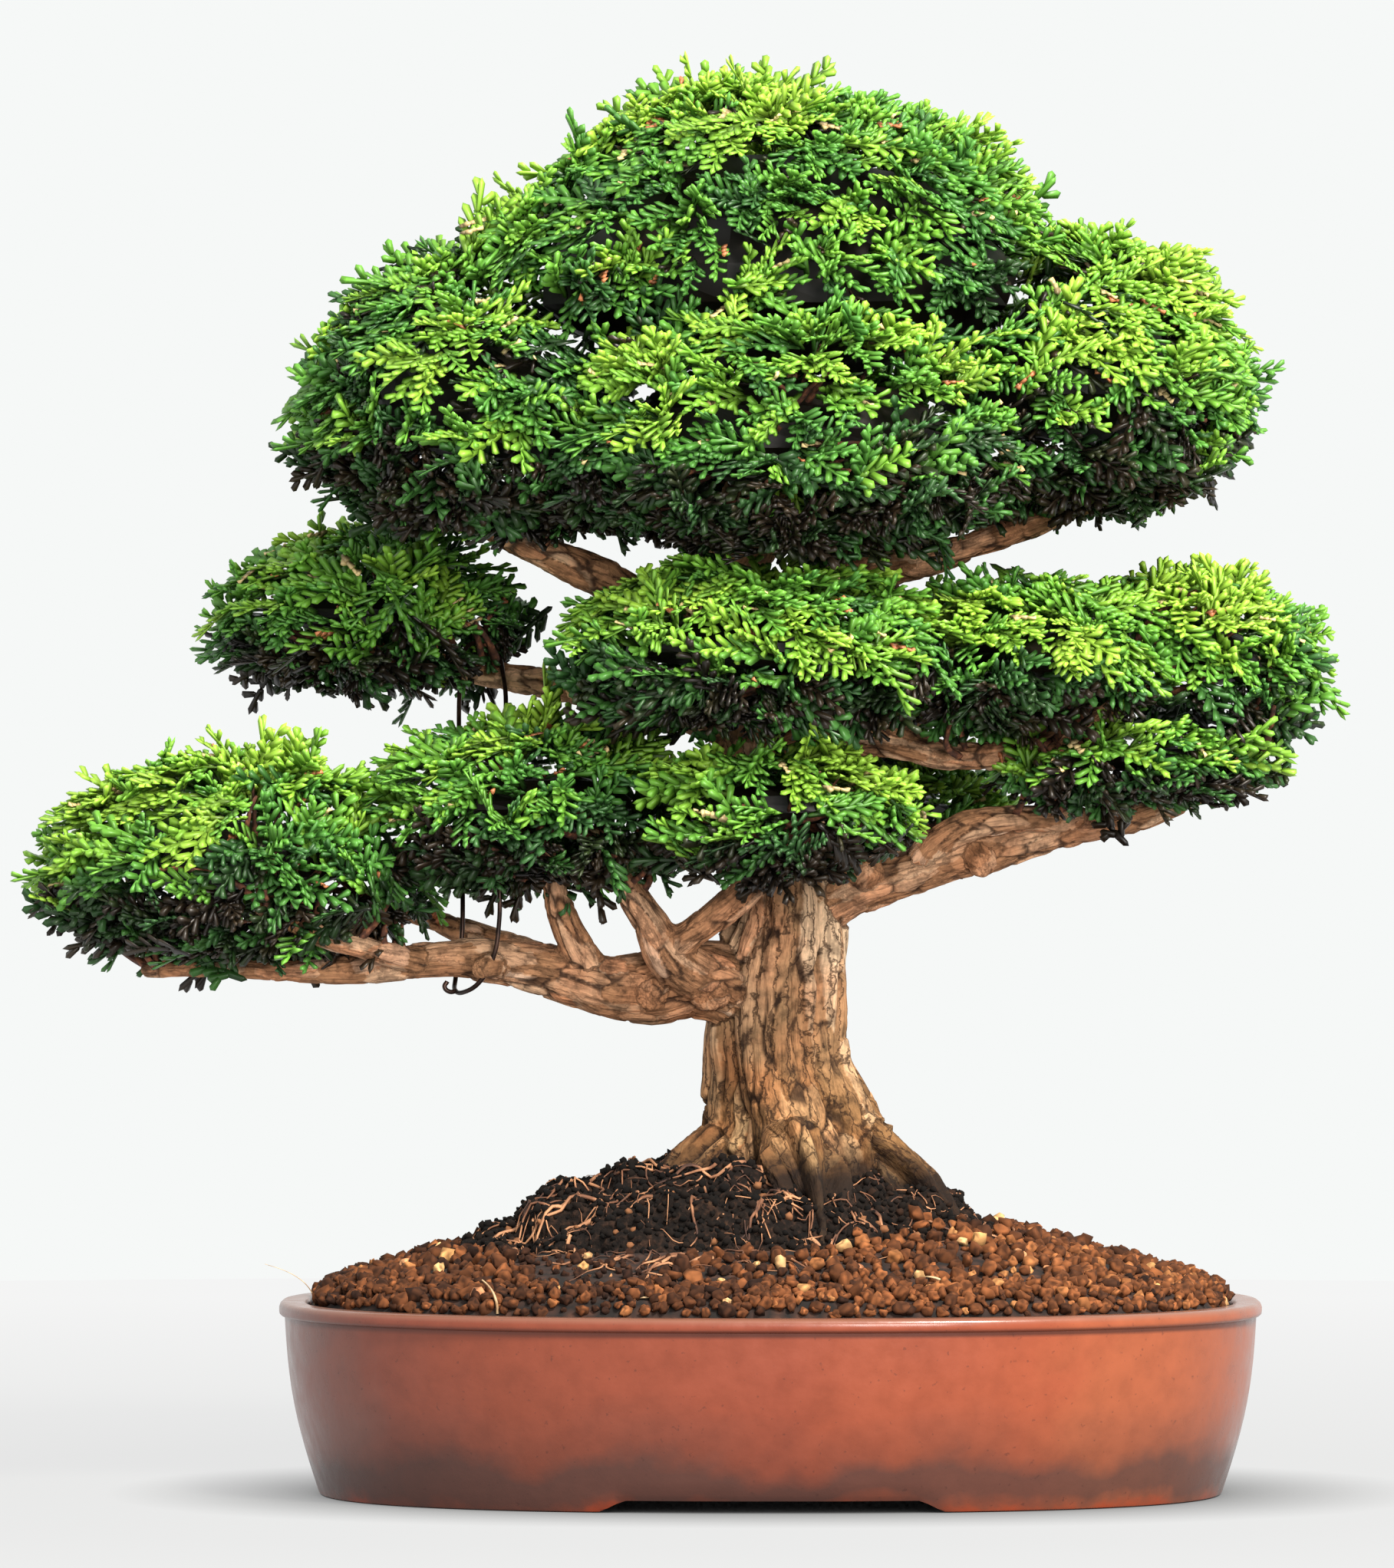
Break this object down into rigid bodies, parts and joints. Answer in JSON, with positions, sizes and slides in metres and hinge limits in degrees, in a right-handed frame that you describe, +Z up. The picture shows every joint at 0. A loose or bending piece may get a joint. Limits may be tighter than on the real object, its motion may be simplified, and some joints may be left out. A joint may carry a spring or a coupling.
{
  "type": "bonsai tree in a pot",
  "caption": "Hinoki cypress bonsai with a thick tapering trunk and clipped foliage pads, standing in a shallow oval glazed pot.",
  "frame": {"origin": "middle of the whole tree's and pot's outline, on the surface that the pot's feet stand on", "axes": "+Z up, -Y the front that the tree is shown from, +X to the right seen from the front"},
  "size_m": [0.3812, 0.239, 0.4145],
  "materials": {
    "glazed_stoneware": "semi-gloss red-brown glaze, bare orange-red foot",
    "mesh_plastic": "moulded",
    "bare_wire": "drawn wire",
    "akadama": "dry baked clay grains",
    "root_mat": "matted roots and old soil",
    "bark_wood": "peeling bark",
    "dark_wire": "dark brown anodised",
    "cypress_leaves": "scale leaves in flat fans"
  },
  "bodies": {
    "root": {"pot": "glazed_stoneware", "drain_mesh_left": "mesh_plastic", "drain_mesh_right": "mesh_plastic", "mesh_clip_left": "bare_wire", "mesh_clip_right": "bare_wire", "tie_wire_left": "bare_wire", "tie_wire_right": "bare_wire", "soil_grit": "akadama", "root_ball": "root_mat", "trunk_and_branches": "bark_wood", "guy_wire": "dark_wire", "foliage_crown_top": "cypress_leaves", "foliage_crown_shoulder": "cypress_leaves", "foliage_crown_left": "cypress_leaves", "foliage_crown_right": "cypress_leaves", "foliage_crown_front": "cypress_leaves", "foliage_crown_back": "cypress_leaves", "foliage_left_middle": "cypress_leaves", "foliage_left_low_outer": "cypress_leaves", "foliage_left_low_inner": "cypress_leaves", "foliage_front_low": "cypress_leaves", "foliage_front_middle": "cypress_leaves", "foliage_right_middle": "cypress_leaves", "foliage_right_tip": "cypress_leaves", "foliage_right_low": "cypress_leaves", "foliage_back_low": "cypress_leaves", "foliage_back_middle": "cypress_leaves"}
  },
  "joints": []
}
